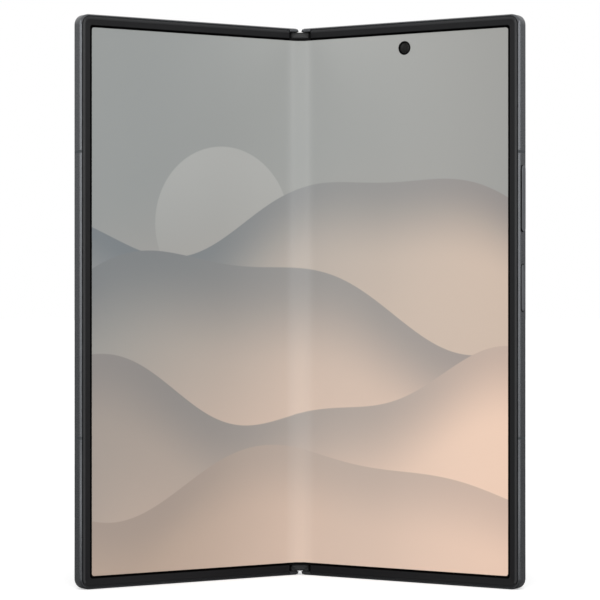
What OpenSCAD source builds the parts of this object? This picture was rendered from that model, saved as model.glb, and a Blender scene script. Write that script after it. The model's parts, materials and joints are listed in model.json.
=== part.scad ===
// Foldable smartphone, half open like a standing book.
// Each half is drawn flat: X runs outward from the fold line, Y from the display side (0) to the
// back, Z along the fold with 0 at mid-height. The poses then fold, mirror and stand the halves up.

/* [Body] */
// Width of one half, from the fold line to its outer wall
half_w = 71.6; // [68:0.2:80]
// Height of the phone along the fold
body_h = 158.4; // [150:0.2:170]
// Thickness of one half
body_t = 4.2; // [4.2:0.05:4.8]
// Angle that each half is folded towards the viewer, at rest
rest_fold = 32.3; // [20:0.1:45]
// Gap between the two display sides when the phone is shut
closed_gap = 0.5; // [0.3:0.05:0.7]
// Radius of the outer corners
corner_r = 2.85; // [2.8:0.05:4]
// Thickness of the frame's rim walls
rim_t = 2.2; // [1.8:0.1:2.6]
// Chamfer along the rim's back edges
edge_bevel = 0.4; // [0.2:0.05:0.6]
// Width of the chamfer along the rim's front edges, seen from the front
lip_bevel = 0.3; // [0.2:0.05:0.35]
// Depth of that chamfer down the outer wall
lip_bevel_depth = 0.75; // [0.4:0.05:0.75]
// Thickness of the frame's mid plate
mid_t = 0.5; // [0.3:0.05:0.6]
// Thickness of the rear glass and of the cover glass
glass_t = 0.5; // [0.4:0.05:0.55]
// Layer of adhesive between glued pieces
glue = 0.05; // [0.03:0.01:0.08]

/* [Display] */
// Width of the metal lip round the bezel, seen from the front
lip_w = 0.4; // [0.4:0.05:0.8]
// Width of the bezel trim
bezel_w = 3.2; // [2.8:0.1:3.4]
// Depth of the bezel's face behind the lip
bezel_sink = 0.1; // [0.05:0.01:0.12]
// Thickness of the bezel trim
bezel_t = 0.3; // [0.25:0.01:0.32]
// Thickness of the flexible display with its support plate
display_t = 0.42; // [0.36:0.01:0.45]
// How far the display runs on under the bezel
display_under = 0.7; // [0.4:0.1:1]
// Half the width of the stretch that bends
fold_reach = 5; // [4:0.1:6]
// Distance from the fold line to the bezel's ends
bezel_gap = 4; // [3.4:0.1:4.2]
// Inner camera's distance from the fold line
inner_cam_x = 35.1; // [30:0.1:40]
// Inner camera's distance below the top edge
inner_cam_drop = 7.5; // [7:0.1:9]
// Inner camera's hole in the display
inner_cam_r = 1.92; // [1.5:0.01:2.2]

/* [Hinge] */
// Depth of the fold axes behind the display side
axis_y = 1.075; // [1.075:0.005:1.1]
// Thickness of the tail that covers the spine
tail_t = 0.5; // [0.4:0.05:0.55]
// Clearance between the spine and the frames
spine_clear = 0.1; // [0.08:0.01:0.12]
// Wall of the spine cover
spine_wall = 0.5; // [0.4:0.05:0.5]
// Drop from the frame's end to the spine's end
spine_drop = 1.1; // [1.05:0.05:1.4]
// Length of the solid cap at each end of the spine
cap_len = 2.1; // [2:0.1:2.4]
// Pitch radius of the synchronising gears
gear_pitch_r = 0.65; // [0.65:0.01:0.66]
// Teeth on each gear
gear_teeth = 10; // [10:2:12]
// Thickness of the gears along the shaft
gear_len = 2.4; // [2:0.1:2.6]
// Radius of the arm shafts and the idler shafts
shaft_r = 0.3; // [0.26:0.01:0.32]
// Running clearance round shafts and arc brackets
run_clear = 0.05; // [0.03:0.01:0.06]
// Distance of the outer hinge modules from mid-height
module_z = 56; // [50:1:58]

/* [Keys and tray] */
// Length of the volume rocker
rocker_len = 18.3; // [16:0.1:20]
// Height of the volume rocker's centre above mid-height
rocker_z = 28.4; // [27:0.1:30]
// Length of the side key
side_key_len = 13.2; // [12:0.1:14]
// Height of the side key's centre above mid-height
side_key_z = 3.8; // [3:0.1:5]
// Width of both keys across the wall
key_w = 2.1; // [1.8:0.05:2.2]
// How far the rocker stands proud of the wall
rocker_proud = 0.42; // [0.3:0.01:0.45]
// How far the side key stands proud of the wall
side_key_proud = 0.2; // [0.05:0.01:0.25]
// Travel of both keys
key_travel = 0.25; // [0.2:0.01:0.3]
// Gap round a key in its window
key_gap = 0.1; // [0.08:0.01:0.15]
// Length of the card tray along the top edge
tray_w = 13; // [12:0.1:14]
// Depth of the card tray into the phone
tray_depth = 17; // [16:0.5:18]

/* [Antenna breaks] */
// Width of the plastic breaks in the outer walls
break_w = 0.8; // [0.6:0.1:1]
// Upper break's height above mid-height
break_up = 41.3; // [40.5:0.1:43]
// Lower break's depth below mid-height
break_down = 37.5; // [35:0.1:40]

/* [Cameras] */
// Width of the rear camera island
island_w = 16; // [15:0.1:17]
// Height of the island above the rear glass
island_t = 1.1; // [0.8:0.05:1.4]
// Radius of the lens rings
ring_r = 6.3; // [5.8:0.1:6.6]
// Height of the lens rings above the island
ring_t = 0.8; // [0.5:0.05:1]
// Distance between neighbouring lenses
lens_pitch = 14.2; // [13.8:0.1:14.6]
// Distance from the frame's edges to the top lens
lens_inset = 12; // [11:0.1:13]

/* [Cells and boards] */
// Height of the left battery cell
left_cell_h = 78; // [60:1:80]
// Height of the right battery cell
right_cell_h = 58; // [48:1:58]
// Thickness of the circuit boards
board_t = 0.5; // [0.4:0.05:0.6]
// Outer radius of the charging coil
coil_r = 20; // [16:1:22]
// Width of the USB-C mouth
usb_w = 8.34; // [8.34:0.01:8.5]
// Height of the USB-C mouth
usb_h = 2.56; // [2.5:0.01:2.56]
// Wall of the USB-C shell
usb_wall = 0.1; // [0.08:0.01:0.12]

/* [Hidden] */
$fn = 64;
eps = 0.02;

// Heights along the fold, and levels through the thickness of a half
half_h = body_h / 2;
display_y = bezel_sink + bezel_t;
mid_y = display_y + display_t + glue;
floor_y = mid_y + mid_t;
glass_y = body_t - glass_t;

// The fold axes: one for each half, at equal distances from the fold line
axis_x = axis_y + closed_gap / 2;
spine_r = body_t - tail_t - spine_clear - axis_y;
cavity_r = spine_r + spine_clear;
spine_in_r = spine_r - spine_wall;
spine_h = half_h - spine_drop;
inner_wall_x = axis_x + cavity_r;
tail_x = closed_gap / 2;
end_nose_r = axis_x - tail_x;

// Where the folded halves reach, which puts the origin under the middle of the whole
fold_c = cos(rest_fold);
fold_s = sin(rest_fold);
front_reach = axis_y - (half_w - axis_x) * fold_s - axis_y * fold_c;
back_reach = axis_y + spine_r;
hinge_shift = -(front_reach + back_reach) / 2;

// Rim, lip and bezel outlines
border = lip_w + bezel_w;
rim_in_x = half_w - rim_t;
wall_fillet = corner_r - rim_t;
glass_margin = 1.1;
glass_start = inner_wall_x + 1.6;
view_r = 0.8;
nose_wall = 0.95;
nose_back = 0.18;
nose_chamfer = 1.25;
cap_nose_half_w = 2.4;
cap_nose_top = 1.5;
cap_nose_low = 2.65;
cap_nose_y = 0.35;
display_h = half_h - border + display_under;

// Hinge module: places along the fold, counted from the module's centre
base_front_y = mid_y + 0.05;
base_r = spine_in_r - run_clear;
arm_x = 3 * gear_pitch_r;
gear_y = axis_y + 0.825;
arc_in_r = 1.25;
arc_out_r = 1.85;
arc_len = 4;
arc_from = 12;
arc_to = 146;
base_low_z = -12.5;
base_high_z = 13;
mid_base_high_z = 5.5;
arc_right_z = -8;
arc_left_z = -2.6;
bracket_z = arc_right_z - 0.5;
bracket_len = arc_left_z + arc_len + 0.5 - bracket_z;
gear_z = arc_left_z + arc_len + 1.2;
wall_t = 0.9;
arm_z = gear_z + gear_len + wall_t + 0.3;
arm_len = 2.2;
arm_t = 0.5;
arm_front_y = gear_y - 0.72;
arm_reach = 9;
washer_t = 0.25;
shaft_end_z = arm_z + arm_len + 1.9;
bracket_reach = 9.5;
foot_y = axis_y + 0.35;
foot_t = 0.6;
pocket_gap = 0.12;
bracket_screw_zs = [bracket_z + 1.8, bracket_z + bracket_len - 1.8];
base_screw_low_z = -10.8;
base_screw_high_z = 11.8;
mid_screw_high_z = 3.6;
screw_r = 0.5;
screw_head_r = 0.85;
screw_head_t = 0.35;
bracket_screw_x = 7.6;
rim_cut_y = axis_y + spine_r * sin(24);
module_places = [-module_z, module_z];
bracket_places = [-module_z, 0, module_z];

// The hollow starts beyond the beam that carries the hinge's feet
beam_x = bracket_reach + 1.2;
room_x = beam_x + 0.3;
room_y = floor_y + glue;
room_out_x = half_w - rim_t - 3.8;

// Keys, in the right wall
key_y = body_t / 2;
key_depth = 1.2;
flange_t = 0.35;
flange_grow = 0.5;
lip_t = key_depth;
key_pocket = 0.08;

// Ports in the bottom wall and the top wall
mid_x = (half_w + inner_wall_x) / 2;
usb_x = mid_x;
usb_y = mid_y + usb_wall + usb_h / 2 + 0.02;
usb_depth = 7;
tray_x = mid_x + 10.2;
tray_t = 0.9;
tray_y = floor_y + 0.45 + tray_t / 2;
hole_r = 0.45;

// Rear cameras
island_x = half_w - lens_inset;
lens_top_z = half_h - lens_inset;
lens_places = [for (i = [0:2]) lens_top_z - i * lens_pitch];
lens_r = ring_r - 1.1;
flash_x = island_x - island_w / 2 - 4;
island_y = body_t + glue;
camera_w = 10;

// The stretch that bends: share of the fold angle at a distance x from the fold line
function fold_share(x) =
  let (t = min(1, abs(x) / fold_reach)) t * t * (3 - 2 * t);
// A point of the flat half (x > 0), after folding by that share
function folded(x, y) =
  let (
    turn = rest_fold * fold_share(x),
    dx = x - axis_x,
    dy = y - axis_y
  )
  [axis_x + dx * cos(turn) + dy * sin(turn), axis_y - dx * sin(turn) + dy * cos(turn)];

// ---- Helpers ----

// A flat outline (X, Z) as a slab between two depths
module slab(y0, y1) {
  translate([0, y1, 0]) rotate([90, 0, 0]) linear_extrude(y1 - y0) children();
}

// A cross-section (X, Y) along the fold
module along(z0, z1) {
  translate([0, 0, z0]) linear_extrude(z1 - z0) children();
}

// A shape seen from the side wall (first value -Z, second Y), drawn outward along X
module outward(x0, x1) {
  translate([x0, 0, 0]) rotate([0, 90, 0]) linear_extrude(x1 - x0) children();
}

module block(x0, x1, y0, y1, z0, z1) {
  translate([x0, y0, z0]) cube([x1 - x0, y1 - y0, z1 - z0]);
}

module disc(x, z, r, y0, y1) {
  translate([x, y1, z]) rotate([90, 0, 0]) cylinder(h = y1 - y0, r = r);
}

module ring(x, z, r_out, r_in, y0, y1) {
  difference() {
    disc(x, z, r_out, y0, y1);
    disc(x, z, r_in, y0 - 1, y1 + 1);
  }
}

module shaft(x, y, r, z0, z1) {
  translate([x, y, z0]) cylinder(h = z1 - z0, r = r);
}

// A slot with round ends, centred, its long side along the first axis
module pill(length, width) {
  square([length - width, width], center = true);
  for (side = [-1, 1]) translate([side * (length - width) / 2, 0]) circle(d = width);
}

module both_ends() {
  children();
  mirror([0, 0, 1]) children();
}

module both_sides() {
  children();
  mirror([1, 0, 0]) children();
}

// Where the pieces stand in the finished phone
module on_spine() {
  translate([0, hinge_shift, half_h]) children();
}

module on_right() {
  on_spine()
    translate([axis_x, axis_y, 0]) rotate([0, 0, -rest_fold]) translate([-axis_x, -axis_y, 0])
      children();
}

module on_left() {
  mirror([1, 0, 0]) on_right() children();
}

// ---- Outlines of a half ----

// Area inside the half's edge by the given inset, from x0 outward, with round outer corners
module half_area(x0, inset, r) {
  x1 = half_w - inset;
  h = half_h - inset;
  translate([x0, -h]) square([x1 - r - x0, 2 * h]);
  translate([x0, r - h]) square([x1 - x0, 2 * (h - r)]);
  for (side = [-1, 1]) translate([x1 - r, side * (h - r)]) circle(r);
}

// Outline of the material that a chamfer takes off at one edge
function bevel(edge, across, deep, side) = [
  [side * (edge - across), -eps], [side * (edge + eps), deep], [side * (edge + 1), deep],
  [side * (edge + 1), -1], [side * (edge - across), -1]
];

// The chamfer that runs along the straight edges and round the corners, at the front
module edge_cut(across, deep) {
  outward(-1, half_w - corner_r) for (side = [-1, 1]) polygon(bevel(half_h, across, deep, side));
  along(corner_r - half_h, half_h - corner_r) polygon(bevel(half_w, across, deep, 1));
  both_ends() translate([half_w - corner_r, 0, corner_r - half_h]) rotate([-90, 0, 0])
    rotate_extrude(angle = 90) polygon(bevel(corner_r, across, deep, 1));
}

// One half as a closed block with its bevels
module half_block() {
  difference() {
    slab(0, body_t) half_area(0, 0, corner_r);
    edge_cut(lip_bevel, lip_bevel_depth);
    translate([0, body_t, 0]) mirror([0, 1, 0]) edge_cut(edge_bevel, edge_bevel);
  }
}

// Cross-section of the frame's end walls beyond the spine: round about the fold axis
module end_nose() {
  intersection() {
    translate([axis_x + nose_back, axis_y]) circle(end_nose_r);
    translate([-1, 0]) square([axis_x + nose_back + 1, body_t]);
  }
  translate([tail_x, axis_y]) square([axis_x - tail_x + 1, body_t - axis_y]);
  translate([axis_x + nose_back, 0]) square([1, body_t]);
}

// Everything that the turning of a half about the spine needs empty
module hinge_clearance() {
  reach = spine_h + spine_clear;
  along(-reach, reach) {
    translate([axis_x, axis_y]) circle(cavity_r);
    translate([-2, -2]) square([axis_x + 2, axis_y + cavity_r + 2]);
    translate([-2, -2]) square([tail_x + 2, body_t + 4]);
  }
  both_ends() along(reach - eps, half_h + 1) difference() {
    translate([-2, -2]) square([axis_x + nose_back + 2, body_t + 4]);
    end_nose();
  }
  both_ends() slab(-1, body_t + 1) polygon([
    [tail_x + nose_chamfer + 1, half_h + 1], [-1, half_h + 1],
    [-1, half_h - nose_chamfer - tail_x - 1]
  ]);
}

// ---- Frames ----

// Seats for bezel, display and glass, cut into a half
module seats() {
  slab(-1, display_y) half_area(bezel_gap - 0.1, lip_w, corner_r - lip_w);
  slab(-1, mid_y) half_area(0, border - display_under - 0.15, view_r);
  slab(-1, floor_y) translate([-1, nose_wall - half_h])
    square([fold_reach + 1.2, 2 * (half_h - nose_wall)]);
  slab(glass_y - glue, body_t + 1) half_area(glass_start, glass_margin, corner_r - glass_margin);
}

// The hollow between the mid plate and the glass
module hollow() {
  slab(floor_y, glass_y) half_area(beam_x, rim_t, wall_fillet);
}

// Pockets, open to the display side, for the feet of brackets and for the arms
module hinge_pockets() {
  for (place = bracket_places) {
    z0 = place + bracket_z;
    z1 = z0 + bracket_len;
    block(0, bracket_reach + pocket_gap, -1, foot_y + foot_t + glue,
          z0 - pocket_gap, z1 + pocket_gap);
    for (z = bracket_screw_zs)
      disc(bracket_screw_x, place + z, screw_r + 0.01, 0, foot_y + foot_t + 0.9);
  }
  for (place = module_places)
    block(0, arm_reach + 1.4, -1, gear_y + 0.25, place + arm_z - pocket_gap,
          place + arm_z + arm_len + pocket_gap);
}

module break_cuts(gap) {
  for (z = [break_up, -break_down])
    block(rim_in_x, half_w + 1, -1, body_t + 1, z - break_w / 2 + gap, z + break_w / 2 - gap);
}

module frame_shell() {
  difference() {
    half_block();
    seats();
    hinge_clearance();
    hollow();
    hinge_pockets();
    break_cuts(0);
    screw_bores();
  }
  screw_posts();
}

// Posts beside the boards, with bores for the screws that hold them
post_places = [[room_x + 2.2, half_h - 29.2], [room_x + 2.2, -half_h + 12.2]];
module screw_posts() {
  for (p = post_places) ring(p[0], p[1], 1.1, 0.45, floor_y - eps, floor_y + 1.2);
}
module screw_bores() {
  for (p = post_places) disc(p[0], p[1], 0.45, floor_y - 0.3, floor_y + 1);
}

// Window and inner pocket for a key in the outer wall
module key_window(z, length) {
  outward(half_w - rim_t - 1, half_w + 2) translate([-z, key_y])
    pill(length + 2 * key_gap, key_w + 2 * key_gap);
  outward(half_w - rim_t - 1, half_w - key_depth) translate([-z, key_y])
    pill(length + 2 * (flange_grow + key_gap), key_w + 2 * key_gap);
}

// A key: its cap in the window and the longer flange behind the wall's lip
module key_shape(z, length, proud) {
  outward(half_w - key_depth - key_pocket - eps, half_w + proud) translate([-z, key_y])
    pill(length, key_w);
  outward(half_w - key_depth - key_pocket - flange_t, half_w - key_depth - key_pocket)
    translate([-z, key_y]) pill(length + 2 * flange_grow, key_w);
}

// Mouth of the USB-C port, with its shell, through the bottom wall
module usb_outline(grow) {
  translate([usb_x, usb_y]) pill(usb_w + 2 * grow, usb_h + 2 * grow);
}

module right_frame() {
  color([0.30, 0.31, 0.32]) on_right() difference() {
    frame_shell();
    key_window(rocker_z, rocker_len);
    key_window(side_key_z, side_key_len);
    along(-half_h - 1, -half_h + usb_depth + 0.3) usb_outline(usb_wall + 0.02);
    for (i = [0:5]) translate([usb_x + 9 + i * 2.2, key_y, -half_h - 1])
      cylinder(h = rim_t + 2, r = hole_r);
    translate([usb_x - 9, key_y, -half_h - 1]) cylinder(h = rim_t + 2, r = hole_r * 0.7);
    disc(inner_cam_x, half_h - inner_cam_drop, 2.6, mid_y - 0.5, floor_y + 0.5);
  }
}

module left_frame() {
  color([0.30, 0.31, 0.32]) on_left() difference() {
    frame_shell();
    along(half_h - rim_t - 1, half_h + 1) translate([tray_x, tray_y])
      pill(tray_w + 2 * key_gap, tray_t + 2 * key_gap);
    for (i = [0:3]) translate([22 + i * 2.2, key_y, half_h - rim_t - 1])
      cylinder(h = rim_t + 2, r = hole_r);
    translate([tray_x + 10.5, key_y, half_h - rim_t - 1]) cylinder(h = rim_t + 2, r = hole_r * 0.7);
  }
}

module antenna_breaks() {
  intersection() {
    difference() {
      half_block();
      seats();
    }
    break_cuts(0.01);
  }
}

module left_antenna_breaks() {
  color([0.22, 0.23, 0.24]) on_left() antenna_breaks();
}

module right_antenna_breaks() {
  color([0.22, 0.23, 0.24]) on_right() antenna_breaks();
}

// ---- Bezel and displays ----

module bezel() {
  slab(bezel_sink, display_y) difference() {
    half_area(bezel_gap, lip_w + glue, corner_r - lip_w);
    half_area(-1, border, view_r);
  }
}

module left_bezel() {
  color([0.13, 0.13, 0.14]) on_left() bezel();
}

module right_bezel() {
  color([0.13, 0.13, 0.14]) on_right() bezel();
}

module display_panel() {
  slab(display_y, display_y + display_t) half_area(fold_reach, border - display_under, view_r);
}

module left_display() {
  color([0.66, 0.64, 0.61]) on_left() display_panel();
}

module right_display() {
  color([0.76, 0.70, 0.64]) on_right() difference() {
    display_panel();
    disc(inner_cam_x, half_h - inner_cam_drop, inner_cam_r, 0, mid_y);
  }
}

// The stretch that bends, from one half's panel to the other's
module fold_display() {
  steps = 20;
  xs = [for (i = [0:steps]) i * fold_reach / steps];
  front = [for (x = xs) folded(x, display_y)];
  back = [for (x = xs) folded(x, display_y + display_t)];
  right_edge = concat(front, [for (i = [steps:-1:0]) back[i]]);
  left_edge = [for (i = [len(right_edge) - 2:-1:1]) [-right_edge[i][0], right_edge[i][1]]];
  color([0.72, 0.70, 0.67]) on_spine() along(-display_h, display_h)
    polygon(concat(right_edge, left_edge));
}

// ---- Spine ----

// Cross-section of the spine: flat back with a round edge about each fold axis
module spine_section(r) {
  for (side = [-1, 1]) translate([side * axis_x, axis_y]) circle(r);
  translate([-axis_x, axis_y - r]) square([2 * axis_x, 2 * r]);
}

module behind(y) {
  intersection() {
    children();
    translate([-10, y]) square([20, 20]);
  }
}

module base_screw_places() {
  for (place = module_places) translate([0, 0, place]) {
    translate([0, 0, base_screw_low_z]) children();
    translate([0, 0, base_screw_high_z]) children();
  }
  translate([0, 0, base_screw_low_z]) children();
  translate([0, 0, mid_screw_high_z]) children();
}

module spine_cover() {
  color([0.28, 0.29, 0.30]) on_spine() difference() {
    along(cap_len - spine_h, spine_h - cap_len) difference() {
      behind(rim_cut_y) spine_section(spine_r);
      spine_section(spine_in_r);
    }
    base_screw_places() disc(0, 0, screw_r + 0.02, 0, axis_y + spine_in_r + 0.35);
  }
}

module spine_end_caps() {
  color([0.19, 0.19, 0.20]) on_spine() both_ends() {
    along(spine_h - cap_len + eps, spine_h) behind(base_front_y) spine_section(spine_r);
    slab(cap_nose_y, base_front_y + eps) polygon([
      [-cap_nose_half_w, half_h - cap_nose_low], [cap_nose_half_w, half_h - cap_nose_low],
      [cap_nose_half_w / 2, half_h - cap_nose_top], [-cap_nose_half_w / 2, half_h - cap_nose_top]
    ]);
  }
}

// A ring sector about the right fold axis, its angles counted from +X towards the back
module arc(r_in, r_out, from, to, z0, length) {
  translate([axis_x, axis_y, z0]) rotate([0, 0, from]) rotate_extrude(angle = to - from)
    translate([r_in, 0]) square([r_out - r_in, length]);
}

// The groove in a base block in which the arc of the right bracket runs
module arc_groove(z) {
  z0 = z - pocket_gap;
  length = arc_len + 2 * pocket_gap;
  arc(arc_in_r - run_clear, arc_out_r + run_clear, 80, arc_to + 6, z0, length);
  arc(arc_in_r - run_clear, base_r + 1, -95, 90, z0, length);
}

module base_block(high_z) {
  difference() {
    along(base_low_z, high_z) behind(base_front_y) spine_section(base_r);
    arc_groove(arc_right_z);
    mirror([1, 0, 0]) arc_groove(arc_left_z);
  }
}

// Room in a base block for the gears and for the arms on their shafts
module gear_room() {
  block(-4, 4, -1, gear_y + gear_tip_r + 0.06, gear_z - 0.1, gear_z + gear_len + 0.1);
  block(-4, 4, -1, gear_y + 0.9, arm_z - 0.1, shaft_end_z + 0.1);
  both_sides() {
    shaft(arm_x, gear_y, shaft_r + run_clear, gear_z - wall_t - 0.05, shaft_end_z);
    shaft(gear_pitch_r, gear_y, shaft_r + 0.01, gear_z - wall_t - 0.05, arm_z);
  }
}

module hinge_bases() {
  color([0.45, 0.46, 0.48]) on_spine() difference() {
    union() {
      for (place = module_places) translate([0, 0, place]) difference() {
        base_block(base_high_z);
        gear_room();
      }
      base_block(mid_base_high_z);
    }
    base_screw_places() {
      disc(0, 0, screw_r + 0.02, 0, body_t);
      disc(0, 0, screw_head_r + 0.05, 0, base_front_y + screw_head_t + 0.05);
    }
  }
}

module screw(y0, length) {
  difference() {
    disc(0, 0, screw_head_r, y0, y0 + screw_head_t);
    translate([0, y0 + 0.2, 0]) rotate([90, 0, 0]) cylinder(h = 1, r = 0.35, $fn = 6);
  }
  disc(0, 0, screw_r, y0 + screw_head_t, y0 + length);
}

module hinge_screws() {
  y0 = base_front_y + 0.05;
  color([0.6, 0.6, 0.62]) on_spine() base_screw_places()
    screw(y0, axis_y + spine_in_r + 0.3 - y0);
}

// ---- Gears, shafts and arms ----

gear_module = 2 * gear_pitch_r / gear_teeth;
gear_tip_r = gear_pitch_r + 0.9 * gear_module;
gear_root_r = gear_pitch_r - 1.25 * gear_module;
half_tooth = 180 / gear_teeth;
function polar(r, a) = [r * cos(a), r * sin(a)];

// One gear's outline, with a tooth along +X when turned by 0
module gear_section(turn) {
  pitch = 360 / gear_teeth;
  polygon([for (i = [0:gear_teeth - 1], p = [
    [gear_root_r, -0.33], [gear_pitch_r, -0.215], [gear_tip_r, -0.09],
    [gear_tip_r, 0.09], [gear_pitch_r, 0.215], [gear_root_r, 0.33]
  ]) polar(p[0], turn + (i + p[1]) * pitch)]);
}

module pinion_shafts(turn) {
  for (place = module_places) translate([arm_x, gear_y, place]) {
    translate([0, 0, gear_z]) linear_extrude(gear_len) gear_section(turn);
    translate([0, 0, gear_z - wall_t]) cylinder(h = shaft_end_z - gear_z + wall_t, r = shaft_r);
    translate([0, 0, shaft_end_z - 0.4]) cylinder(h = 0.4, r = shaft_r + 0.3);
  }
}

module left_gear_shafts() {
  color([0.7, 0.7, 0.72]) on_spine() mirror([1, 0, 0]) pinion_shafts(half_tooth);
}

module right_gear_shafts() {
  color([0.7, 0.7, 0.72]) on_spine() pinion_shafts(0);
}

// Arms turn about the gear shafts and slide a little in pockets of the frames
module arm_set() {
  for (place = module_places) translate([arm_x, gear_y, place + arm_z])
    rotate([0, 0, -rest_fold]) difference() {
      union() {
        cylinder(h = arm_len, r = 0.72);
        linear_extrude(arm_len) polygon([
          [0.1, -0.6], [1.0, arm_front_y - gear_y - 0.03], [arm_reach - arm_x, arm_front_y - gear_y - 0.03],
          [arm_reach - arm_x, arm_front_y - gear_y + arm_t], [1.1, arm_front_y - gear_y + arm_t],
          [0.4, 0.5]
        ]);
      }
      translate([0, 0, -1]) cylinder(h = arm_len + 2, r = shaft_r + 0.01);
    }
}

module left_arms() {
  color([0.55, 0.56, 0.58]) on_spine() mirror([1, 0, 0]) arm_set();
}

module right_arms() {
  color([0.55, 0.56, 0.58]) on_spine() arm_set();
}

// Friction washers pressed between the arms and the shafts' heads
module friction_washers() {
  z0 = arm_z + arm_len + glue;
  color([0.75, 0.68, 0.5]) on_spine() both_sides() for (place = module_places, i = [0:3])
    translate([arm_x, gear_y, place + z0 + i * (washer_t + glue)]) difference() {
      cylinder(h = washer_t, r = 0.68);
      translate([0, 0, -1]) cylinder(h = 2, r = shaft_r + run_clear);
    }
}

// Gears alternate by half a tooth, so that each tooth faces a gap of its neighbour
module idlers(turn) {
  for (place = module_places) translate([gear_pitch_r, gear_y, place + gear_z])
    linear_extrude(gear_len) difference() {
      gear_section(turn);
      circle(shaft_r + run_clear / 2);
    }
}

module left_idlers() {
  color([0.7, 0.7, 0.72]) on_spine() mirror([1, 0, 0]) idlers(0);
}

module right_idlers() {
  color([0.7, 0.7, 0.72]) on_spine() idlers(half_tooth);
}

module idler_shafts() {
  color([0.6, 0.6, 0.62]) on_spine() both_sides() for (place = module_places)
    shaft(gear_pitch_r, gear_y, shaft_r, place + gear_z - wall_t, place + gear_z + gear_len + wall_t);
}

// The cable that joins both halves' boards lies slack in the spine
module hinge_flex() {
  back_y = axis_y + spine_in_r - glue;
  thick = 0.12;
  color([0.75, 0.45, 0.1]) on_spine() both_ends() along(24, 34) polygon([
    [-2.4, 1.4], [-2.4 + thick, 1.4], [-1.3, back_y - thick], [1.3, back_y - thick],
    [2.4 - thick, 1.4], [2.4, 1.4], [1.3 + thick, back_y], [-1.3 - thick, back_y]
  ]);
}

// ---- Brackets ----

neck_inset = 0.1;
function on_arc(r, a) = [axis_x, axis_y] + polar(r, a);

// Feet screwed into a frame, each with an arc that turns in its base block
module brackets(arc_z) {
  for (place = bracket_places) translate([0, 0, place]) {
    difference() {
      block(inner_wall_x - 0.2, bracket_reach, foot_y, foot_y + foot_t,
            bracket_z, bracket_z + bracket_len);
      for (z = bracket_screw_zs) disc(bracket_screw_x, z, screw_r + 0.05, 0, body_t);
    }
    arc(arc_in_r, arc_out_r, arc_from, arc_to, arc_z, arc_len);
    along(arc_z + neck_inset, arc_z + arc_len - neck_inset) polygon([
      on_arc(arc_in_r + 0.3, arc_from + 12), on_arc(arc_in_r + 0.2, arc_from + 3),
      [inner_wall_x - 0.1, foot_y + 0.03], [inner_wall_x - 0.1, foot_y + foot_t - 0.03],
      on_arc(arc_out_r - 0.1, arc_from + 14)
    ]);
  }
}

module bracket_screws() {
  for (place = bracket_places, z = bracket_screw_zs)
    translate([bracket_screw_x, 0, place + z])
      screw(foot_y - screw_head_t - 0.01, foot_t + screw_head_t + 0.8);
}

module left_brackets() {
  color([0.62, 0.63, 0.65]) on_left() brackets(arc_left_z);
}

module right_brackets() {
  color([0.62, 0.63, 0.65]) on_right() brackets(arc_right_z);
}

module left_bracket_screws() {
  color([0.6, 0.6, 0.62]) on_left() bracket_screws();
}

module right_bracket_screws() {
  color([0.6, 0.6, 0.62]) on_right() bracket_screws();
}

// ---- Left half: cover display, cell, board and card tray ----

panel_t = 0.32;
panel_back_y = glass_y - 2 * glue;
left_room_back = panel_back_y - panel_t - glue;
cover_cam_x = mid_x;
cover_cam_z = half_h - 7;
cover_cam_r = 1.7;
earpiece_x = 22;
board_low = half_h - 35.2;

module cover_glass() {
  color([0.05, 0.05, 0.06]) on_left()
    slab(glass_y, body_t) half_area(glass_start + glue, glass_margin + glue, corner_r - glass_margin);
}

module cover_panel() {
  color([0.09, 0.09, 0.11]) on_left() difference() {
    slab(panel_back_y - panel_t, panel_back_y) half_area(beam_x + 0.1, rim_t + 0.1, wall_fillet);
    disc(cover_cam_x, cover_cam_z, cover_cam_r + 0.15, 0, body_t);
  }
}

module cover_camera() {
  color([0.08, 0.08, 0.09]) on_left() {
    block(cover_cam_x - 2.6, cover_cam_x + 2.6, room_y, left_room_back - 0.1,
          cover_cam_z - 2.6, cover_cam_z + 2.6);
    disc(cover_cam_x, cover_cam_z, cover_cam_r, left_room_back - 0.1 - eps, glass_y - 0.05);
  }
}

module earpiece() {
  color([0.15, 0.15, 0.16]) on_left()
    block(earpiece_x - 1, earpiece_x + 7.6, room_y, left_room_back - 0.1,
          half_h - rim_t - 4.6, half_h - rim_t - 0.1);
}

module left_cell() {
  top = board_low - 1;
  color([0.17, 0.17, 0.19]) on_left()
    block(room_x, room_out_x, room_y, left_room_back - 0.1, top - left_cell_h, top);
}

module left_board() {
  color([0.08, 0.22, 0.16]) on_left() difference() {
    union() {
      block(room_x, room_out_x, room_y, room_y + board_t, board_low, board_low + 15);
      for (i = [0:4]) block(room_x + 8 + i * 8, room_x + 13 + i * 8, room_y + board_t,
                            room_y + board_t + 0.7, board_low + 3, board_low + 11);
    }
    for (p = post_places) disc(p[0], p[1], 1.15, 0, body_t);
  }
}

// Magnets at the outer edge that keep the phone shut
module magnets(low_z) {
  for (z = [low_z, low_z + 9]) block(half_w - rim_t - 3, half_w - rim_t - 0.2, room_y, room_y + 1.6,
                                      z, z + 8);
}

module left_magnets() {
  color([0.7, 0.7, 0.7]) on_left() magnets(-half_h + 19.2);
}

module card_reader() {
  grow = 0.12;
  color([0.7, 0.7, 0.72]) on_left() difference() {
    block(tray_x - tray_w / 2 - 0.6, tray_x + tray_w / 2 + 0.6, room_y, tray_y + tray_t / 2 + 0.4,
          half_h - tray_depth - 1, half_h - rim_t - 0.1);
    block(tray_x - tray_w / 2 - grow, tray_x + tray_w / 2 + grow, tray_y - tray_t / 2 - grow,
          tray_y + tray_t / 2 + grow, half_h - tray_depth - 0.3, half_h);
  }
}

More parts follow.
